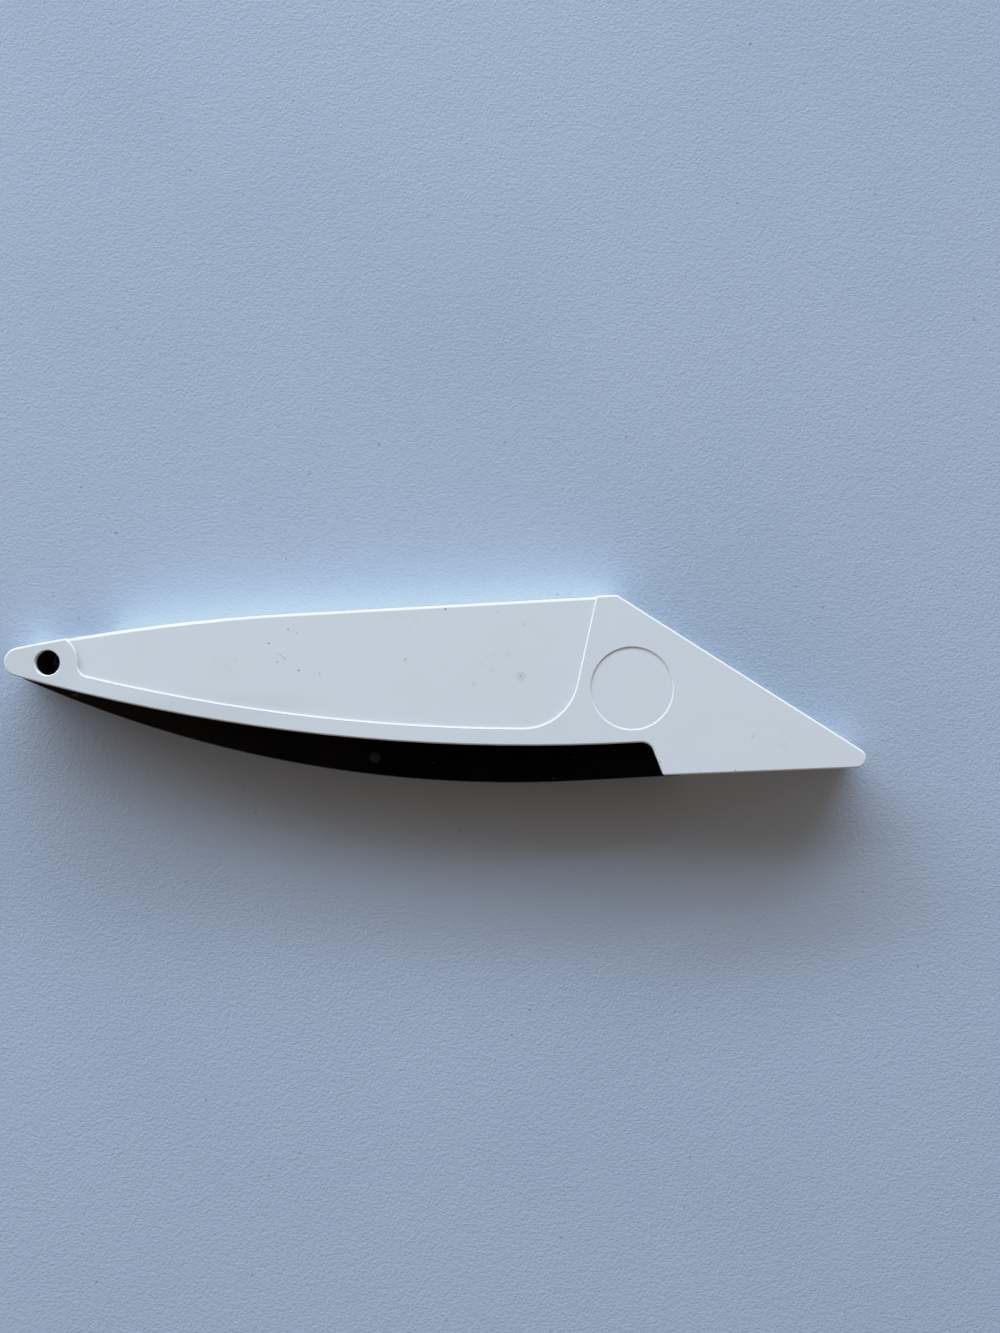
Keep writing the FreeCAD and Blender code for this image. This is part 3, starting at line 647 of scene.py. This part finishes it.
@dataclass(frozen=True)
class BarFinish:
    """Black gloss plastic with dust, light scratches, worn edges and patches of painted warm reflection.
    """

    black: Colour = (0.0003, 0.0003, 0.0003)
    # Painted reflection: warm brown patches on the gloss black, laid by the smudge clouds.
    painted_warm_reflection: Colour = (0.0026, 0.0011, 0.0014)
    dust: Colour = (0.16, 0.15, 0.14)
    gate: Colour = (0.023, 0.0165, 0.014)
    gate_mark: Mark = Mark(108.8, -36.31, 1.95, core=0.8)
    gate_mottle: float = 0.55
    dust_patch: Mark = Mark(7.7, -11.2, 0.9, stretch=2.2)
    roughness: float = 0.1
    grain_depth: float = 0.004 * MM

    def material(self) -> bpy.types.Material:
        """Makes the bar's material.

        Returns:
            The material.
        """
        surface = Surface("black_bar")
        sheet = surface.sheet
        smudged = surface.effect(Effect.SMUDGES, Scale=28.0, Low=0.4, High=0.72)
        dust = surface.effect(Effect.SPECKS, Scale=420.0, Radius=0.16, Share=0.08)
        scratched = surface.effect(
            Effect.SCRATCHES, Scale=110.0, Width=0.06 * MM, Length=5 * MM, Share=0.3
        )
        rubbed = surface.effect(Effect.EDGE_RUB, Reach=0.6 * MM, Scale=220.0)
        mottles = surface.effect(Effect.SMUDGES, Scale=900.0, Low=0.4, High=0.6)
        uneven = surface.weighted(1 - self.gate_mottle, (mottles, self.gate_mottle))
        gate = sheet.math("MULTIPLY", surface.spot(self.gate_mark), uneven)
        patch = sheet.math("MULTIPLY", surface.spot(self.dust_patch), mottles)
        # The smudge clouds give real smudges in the roughness and painted warm reflection in the colour.
        colour = surface.layered(
            self.black,
            (smudged, 1.0, self.painted_warm_reflection),
            (gate, 1.0, self.gate),
            (patch, 0.3, self.dust),
            (scratched, 0.06, self.dust),
            (rubbed, 0.1, self.dust),
            (dust, 0.3, self.dust),
        )
        roughness = surface.weighted(
            self.roughness, (smudged, 0.1), (scratched, 0.15), (rubbed, 0.2), (dust, 0.4)
        )
        grain = surface.effect(Effect.GRAIN, Scale=900.0)
        surface.finish(colour, roughness, grain, self.grain_depth, IOR=1.5)
        return surface.material


@dataclass(frozen=True)
class PlainPlasticFinish:
    """Satin moulded plastic of one colour with handling wear."""

    name: str
    tone: Colour
    worn: Colour
    roughness: float
    grain_scale: float = 1100.0
    grain_depth: float = 0.008 * MM

    def material(self) -> bpy.types.Material:
        """Makes the plastic's material.

        Returns:
            The material.
        """
        surface = Surface(self.name)
        smudged = surface.effect(Effect.SMUDGES, Scale=180.0, Low=0.4, High=0.75)
        dust = surface.effect(Effect.SPECKS, Scale=700.0, Radius=0.2, Share=0.06)
        rubbed = surface.effect(Effect.EDGE_RUB, Reach=0.25 * MM, Scale=600.0)
        colour = surface.layered(
            self.tone, (smudged, 0.25, self.worn), (rubbed, 0.5, self.worn), (dust, 0.3, self.worn)
        )
        roughness = surface.weighted(self.roughness, (smudged, 0.08), (rubbed, -0.1), (dust, 0.2))
        grain = surface.effect(Effect.GRAIN, Scale=self.grain_scale)
        surface.finish(colour, roughness, grain, self.grain_depth, IOR=1.48)
        return surface.material


@dataclass(frozen=True)
class SteelFinish:
    """Bright steel with fine draw or grinding lines along one axis."""

    name: str
    bright: Colour
    dull: Colour
    roughness: float
    line_stretch: tuple[float, float, float]
    line_scale: float = 9000.0
    line_depth: float = 0.002 * MM

    def material(self) -> bpy.types.Material:
        """Makes the steel's material.

        Returns:
            The material.
        """
        surface = Surface(self.name)
        sheet = surface.sheet
        lines = sheet.noise(sheet.stretched(surface.place, self.line_stretch), self.line_scale, 2.0)
        smudged = surface.effect(Effect.SMUDGES, Scale=300.0, Low=0.42, High=0.75)
        scratched = surface.effect(
            Effect.SCRATCHES, Scale=700.0, Width=0.03 * MM, Length=1 * MM, Share=0.5
        )
        rubbed = surface.effect(Effect.EDGE_RUB, Reach=0.1 * MM, Scale=900.0)
        colour = surface.layered(
            self.bright, (smudged, 0.6, self.dull), (lines, 0.25, self.dull), (rubbed, 0.5, self.bright)
        )
        roughness = surface.weighted(self.roughness, (lines, 0.14), (smudged, 0.1), (scratched, 0.12))
        surface.finish(colour, roughness, lines, self.line_depth, Metallic=1.0)
        return surface.material


@dataclass(frozen=True)
class CeramicFinish:
    """Fine-ground ceramic with grit and grey streaks from honing."""

    cream: Colour = (0.8, 0.77, 0.7)
    shade: Colour = (0.66, 0.62, 0.55)
    steel_streak: Colour = (0.3, 0.3, 0.31)
    roughness: float = 0.62
    grit_depth: float = 0.02 * MM

    def material(self) -> bpy.types.Material:
        """Makes the ceramic's material.

        Returns:
            The material.
        """
        surface = Surface("ceramic")
        grit = surface.effect(Effect.GRAIN, Scale=3200.0)
        clouds = surface.effect(Effect.SMUDGES, Scale=420.0, Low=0.35, High=0.8)
        streaks = surface.effect(
            Effect.SCRATCHES, Scale=900.0, Width=0.12 * MM, Length=1.6 * MM, Share=0.5
        )
        colour = surface.layered(
            self.cream, (clouds, 0.5, self.shade), (streaks, 0.55, self.steel_streak)
        )
        roughness = surface.weighted(self.roughness, (clouds, 0.08), (streaks, -0.18))
        surface.finish(colour, roughness, grit, self.grit_depth)
        return surface.material


@dataclass(frozen=True)
class TableFinish:
    """Pale painted table top with an orange-peel surface."""

    pale: Colour = (0.473, 0.522, 0.608)
    cloudy: Colour = (0.445, 0.498, 0.584)
    speck: Colour = (0.2, 0.2, 0.22)
    roughness: float = 0.6
    peel_depth: float = 0.12 * MM

    def material(self) -> bpy.types.Material:
        """Makes the table's material.

        Returns:
            The material.
        """
        surface = Surface("pale_table")
        clouds = surface.effect(Effect.SMUDGES, Scale=7.0, Low=0.35, High=0.7)
        specks = surface.effect(Effect.SPECKS, Scale=110.0, Radius=0.08, Share=0.8)
        colour = surface.layered(self.pale, (clouds, 1.0, self.cloudy), (specks, 0.5, self.speck))
        roughness = surface.weighted(self.roughness, (clouds, 0.08))
        peel = surface.effect(Effect.GRAIN, Scale=1050.0)
        surface.finish(colour, roughness, peel, self.peel_depth, Specular_IOR_Level=0.1)
        return surface.material


SPRING_STEEL = SteelFinish("spring_steel", (0.6, 0.6, 0.61), (0.36, 0.36, 0.37), 0.24, (0.05, 1.0, 1.0))
PIN_STEEL = SteelFinish("pin_steel", (0.56, 0.56, 0.57), (0.38, 0.38, 0.39), 0.3, (1.0, 0.08, 0.08))
BUSH_PLASTIC = PlainPlasticFinish("black_bush", (0.01, 0.01, 0.011), (0.05, 0.05, 0.05), 0.48)
GREY_ACETAL = PlainPlasticFinish("grey_acetal", (0.22, 0.23, 0.24), (0.36, 0.36, 0.36), 0.44)


def dress(material: bpy.types.Material, *nodes: str) -> None:
    """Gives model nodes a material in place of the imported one.

    Args:
        material: Finish to show.
        nodes: Names of the nodes.
    """
    for name in nodes:
        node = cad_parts[name]
        node.data.materials.clear()
        node.data.materials.append(material)
        LOG.info("%s wears %s", name, material.name)


def add_piece(name: str, mesh: bpy.types.Mesh, material: bpy.types.Material) -> bpy.types.Object:
    """Puts a new piece in the scene.

    Args:
        name: Name of the piece.
        mesh: Its mesh, in the model's frame.
        material: Its finish.

    Returns:
        The new object.
    """
    piece = bpy.data.objects.new(name, mesh)
    piece.data.materials.append(material)
    bpy.context.scene.collection.objects.link(piece)
    LOG.info("%s made, %d faces", name, len(mesh.polygons))
    return piece


def loft(name: str, rings: list[list[Vector]]) -> bpy.types.Mesh:
    """Makes a closed skin over rings of points, with flat ends.

    Args:
        name: Name of the mesh.
        rings: Rings of the same count, in order along the piece.

    Returns:
        The smooth-shaded mesh.
    """
    build = bmesh.new()
    rows = [[build.verts.new(point) for point in ring] for ring in rings]
    count = len(rows[0])
    for row, following in zip(rows, rows[1:]):
        for index in range(count):
            after = (index + 1) % count
            build.faces.new((row[index], row[after], following[after], following[index])).smooth = True
    build.faces.new(rows[0])
    build.faces.new(rows[-1])
    bmesh.ops.recalc_face_normals(build, faces=build.faces)
    mesh = bpy.data.meshes.new(name)
    build.to_mesh(mesh)
    build.free()
    return mesh


@dataclass
class Case:
    """White covers and the bush that lines the hang hole; the leaf springs that hold the blade are dressed
    with the other springs.
    """

    shell: ShellFinish = field(default_factory=ShellFinish)

    def build(self) -> None:
        """Dresses the case's nodes."""
        for side in Side:
            dress(self.shell.material(side), f"{side.value}_cover")
        dress(BUSH_PLASTIC.material(), "pivot_bush")


@dataclass
class SqueezeBar:
    """Black bar and the hinge eye that carries it."""

    finish: BarFinish = field(default_factory=BarFinish)

    def build(self) -> None:
        """Dresses the bar's nodes."""
        dress(self.finish.material(), "squeeze_bar", "hinge_eye")


@dataclass
class ReturnSpring:
    """Coil spring between the bar and a cover, with closed end turns."""

    side: Side
    steel: bpy.types.Material
    wire: float = 0.4 * MM
    turns: int = 6
    stations_per_turn: int = 36
    ring_points: int = 12
    closed_turns: float = 0.6
    closed_pitch: float = 0.3
    end_play: float = 0.22 * MM

    def climb(self) -> list[float]:
        """Works out how far up the coil each station is.

        Returns:
            Heights from 0 to 1, closer together at both ends.
        """
        steps = self.turns * self.stations_per_turn
        heights = [0.0]
        for step in range(steps):
            from_end = min(step, steps - 1 - step) / self.stations_per_turn
            share = min(from_end / self.closed_turns, 1.0)
            heights.append(heights[-1] + self.closed_pitch + (1 - self.closed_pitch) * share)
        return [height / heights[-1] for height in heights]

    def rings(self, low: Vector, high: Vector) -> list[list[Vector]]:
        """Works out the rings of points round the wire, from the foot up.

        Args:
            low: Lowest corner of the node's box.
            high: Highest corner of the node's box.

        Returns:
            One ring for each station.
        """
        middle = (low + high) / 2
        wire_radius = self.wire / 2
        radius = (high.x - low.x - self.wire) / 2
        rise = high.y - low.y - self.wire
        rings = []
        for step, share in enumerate(self.climb()):
            turn = 2 * math.pi * step / self.stations_per_turn
            outward = Vector((math.cos(turn), 0, math.sin(turn)))
            centre = Vector((middle.x, low.y + wire_radius + rise * share, middle.z)) + outward * radius
            ring = []
            for index in range(self.ring_points):
                angle = 2 * math.pi * index / self.ring_points
                lift = Vector((0, math.sin(angle), 0))
                ring.append(centre + (outward * math.cos(angle) + lift) * wire_radius)
            rings.append(ring)
        return rings

    def build(self) -> None:
        """Makes the coil in its node's box and hangs it on the case's body."""
        node = f"return_spring_{self.side.value}"
        low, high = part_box(node)
        spring = add_piece(f"return_coil_{self.side.value}", loft(node, self.rings(low, high)), self.steel)
        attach(spring, "case")
        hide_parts(node)
        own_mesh(spring)


@dataclass
class ArmSpring:
    """Leaf spring that stands beside the carrier and leans on the back of a rod's arm."""

    side: Side
    steel: bpy.types.Material
    thickness: float = 0.2 * MM
    upright: float = 2.0 * MM
    touch_below_top: float = 0.77 * MM
    curl_out: float = 0.59 * MM
    bend: float = 0.5 * MM
    bend_steps: int = 6
    edge_round: float = 0.05 * MM

    def profile(self, low: Vector, high: Vector) -> list[Vector]:
        """Works out the leaf's middle line, from its foot to its curled end.

        Args:
            low: Lowest corner of the node's box.
            high: Highest corner of the node's box.

        Returns:
            Points in the YZ plane, with the bends rounded.
        """
        half = self.thickness / 2
        outer = max(abs(low.z), abs(high.z)) - half
        inner = min(abs(low.z), abs(high.z)) + half
        sign = self.side.sign
        corners = [
            Vector((0, low.y, sign * outer)),
            Vector((0, low.y + self.upright, sign * outer)),
            Vector((0, high.y - self.touch_below_top, sign * inner)),
            Vector((0, high.y - half / 2, sign * (inner + self.curl_out))),
        ]
        points = [corners[0]]
        for before, corner, after in zip(corners, corners[1:], corners[2:]):
            start = corner + (before - corner).normalized() * self.bend
            end = corner + (after - corner).normalized() * self.bend
            for step in range(self.bend_steps + 1):
                share = step / self.bend_steps
                points.append(start.lerp(corner, share).lerp(corner.lerp(end, share), share))
        points.append(corners[-1])
        return points

    def build(self) -> None:
        """Makes the leaf in its node's place."""
        node = f"arm_spring_{self.side.value}"
        low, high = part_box(node)
        points = self.profile(low, high)
        middle = (low.x + high.x) / 2
        half_width = (high.x - low.x) / 2
        half = self.thickness / 2
        corner = self.edge_round
        outline = (
            (half_width, half - corner),
            (half_width - corner, half),
            (corner - half_width, half),
            (-half_width, half - corner),
            (-half_width, corner - half),
            (corner - half_width, -half),
            (half_width - corner, -half),
            (half_width, corner - half),
        )
        rings = []
        for index, point in enumerate(points):
            along = points[min(index + 1, len(points) - 1)] - points[max(index - 1, 0)]
            across = Vector((0, -along.z, along.y)).normalized()
            rings.append([Vector((middle + x, 0, 0)) + point + across * offset for x, offset in outline])
        leaf = add_piece(f"arm_leaf_{self.side.value}", loft(node, rings), self.steel)
        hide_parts(node)
        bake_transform(leaf)


@dataclass
class Sharpener:
    """Carrier in the bar's nose end with a pin, two arms and two honing rods; their springs are made with
    the other springs.
    """

    ceramic: CeramicFinish = field(default_factory=CeramicFinish)

    def build(self) -> None:
        """Dresses the sharpener's nodes."""
        sides = [side.value for side in Side]
        dress(GREY_ACETAL.material(), "sharpener_carrier", *[f"stone_arm_{side}" for side in sides])
        dress(PIN_STEEL.material(), "arm_pin")
        dress(self.ceramic.material(), *[f"honing_rod_{side}" for side in sides])


@dataclass
class Springs:
    """All the steel springs: two coils, two arm leaves and two blade leaves."""

    def build(self) -> None:
        """Makes the springs that move and dresses the ones that stay."""
        steel = SPRING_STEEL.material()
        for side in Side:
            dress(steel, f"blade_spring_{side.value}")
            ReturnSpring(side, steel).build()
            ArmSpring(side, steel).build()


@dataclass(frozen=True)
class Pane:
    """One strip of the window: its angles round and above the table, its sides and its power."""

    azimuth: float
    elevation: float
    width: float
    height: float
    power: float


@dataclass
class Studio:
    """Pale table, a wide soft window light, a dim warm room and the camera."""

    table: TableFinish = field(default_factory=TableFinish)
    table_half: float = 4.0
    camera_place: tuple[float, float, float] = (0.1525, -0.0073, 0.345)
    camera_turn: float = math.radians(-2.27)
    lens: float = 27.0
    sensor: float = 36.0
    nearest: float = 1 * MM
    window_aim: tuple[float, float, float] = (0.14, -0.01, 0.0)
    window_distance: float = 5.0
    window_colour: Colour = (0.617, 0.797, 1.0)
    panes: tuple[Pane, ...] = (
        Pane(math.radians(103.0), math.radians(11.5), 11.0, 0.45, 722.0),
        Pane(math.radians(103.0), math.radians(20.5), 11.0, 1.35, 372.0),
        Pane(math.radians(33.0), math.radians(16.0), 5.0, 1.2, 40.0),
        Pane(math.radians(173.0), math.radians(16.0), 5.0, 1.2, 40.0),
    )
    room_colour: Colour = (0.4, 0.316, 0.234)
    zenith_colour: Colour = (0.002, 0.002, 0.002)
    backdrop: Colour = (0.62, 0.66, 0.72)
    film_curve: tuple[tuple[float, float], ...] = (
        (0.0, 0.0),
        (0.6, 0.6),
        (0.75, 0.735),
        (0.9, 0.82),
        (1.15, 0.89),
        (1.6, 0.945),
        (2.6, 0.98),
        (6.0, 1.0),
    )

    def build(self) -> None:
        """Sets up the table, the light, the room and the camera."""
        self.add_table()
        for pane in self.panes:
            self.add_pane(pane)
        self.add_room()
        self.add_camera()
        self.set_film()

    def add_table(self) -> None:
        """Lays the table top under the guard."""
        height = CAD_BOX[0].z
        half = self.table_half
        mesh = bpy.data.meshes.new("table_top")
        corners = ((-half, -half), (half, -half), (half, half), (-half, half))
        mesh.from_pydata([(x, y, height) for x, y in corners], [], [(0, 1, 2, 3)])
        add_piece("table_top", mesh, self.table.material())

    def add_pane(self, pane: Pane) -> None:
        """Hangs one strip of the window light.

        Args:
            pane: Strip to hang.
        """
        light = bpy.data.lights.new("window_pane", "AREA")
        light.shape = "RECTANGLE"
        light.size, light.size_y = pane.width, pane.height
        light.energy = pane.power
        light.color = self.window_colour
        window = bpy.data.objects.new("window_pane", light)
        level = math.cos(pane.elevation)
        away = Vector(
            (
                math.cos(pane.azimuth) * level,
                math.sin(pane.azimuth) * level,
                math.sin(pane.elevation),
            )
        )
        window.location = Vector(self.window_aim) + away * self.window_distance
        window.rotation_euler = (-away).to_track_quat("-Z", "Y").to_euler()
        window.visible_camera = False
        bpy.context.scene.collection.objects.link(window)

    def add_room(self) -> None:
        """Makes the room's light: warm and dim, darkest overhead, with a pale backdrop for the camera."""
        world = bpy.data.worlds.new("room")
        world.use_nodes = True
        sheet = NodeSheet(world.node_tree)
        split = sheet.add("ShaderNodeSeparateXYZ")
        sheet.feed(split.inputs[0], sheet.add("ShaderNodeTexCoord").outputs["Generated"])
        rise = sheet.math("MULTIPLY", split.outputs["Z"], split.outputs["Z"])
        room = sheet.mix_colour(rise, self.room_colour, self.zenith_colour)
        seen = sheet.add("ShaderNodeLightPath").outputs["Is Camera Ray"]
        glow = sheet.add("ShaderNodeBackground")
        sheet.feed(glow.inputs["Color"], sheet.mix_colour(seen, room, self.backdrop))
        sheet.feed(sheet.add("ShaderNodeOutputWorld").inputs["Surface"], glow.outputs[0])
        bpy.context.scene.world = world

    def add_camera(self) -> None:
        """Sets the camera straight above the guard."""
        lens = bpy.data.cameras.new("camera")
        lens.lens = self.lens
        lens.sensor_width = self.sensor
        lens.clip_start = self.nearest
        camera = bpy.data.objects.new("camera", lens)
        camera.location = self.camera_place
        camera.rotation_euler = (0, 0, self.camera_turn)
        bpy.context.scene.collection.objects.link(camera)
        bpy.context.scene.camera = camera

    def set_film(self) -> None:
        """Lets bright light fade softly to white, as a camera does."""
        view = bpy.context.scene.view_settings
        view.view_transform = "Standard"
        view.use_curve_mapping = True
        mapping = view.curve_mapping
        mapping.clip_max_x = self.film_curve[-1][0]
        curve = mapping.curves[ALL_CHANNELS]
        curve.points[0].location = self.film_curve[0]
        curve.points[1].location = self.film_curve[-1]
        for place in self.film_curve[1:-1]:
            curve.points.new(*place)
        for point in curve.points:
            point.handle_type = "VECTOR"
        mapping.update()


def main() -> None:
    """Builds the guard's looks in order."""
    logging.basicConfig(level=logging.INFO, format="%(message)s")
    for assembly in (Case(), SqueezeBar(), Sharpener(), Springs(), Studio()):
        LOG.info("%s", type(assembly).__name__)
        assembly.build()


if __name__ == "__main__":
    main()
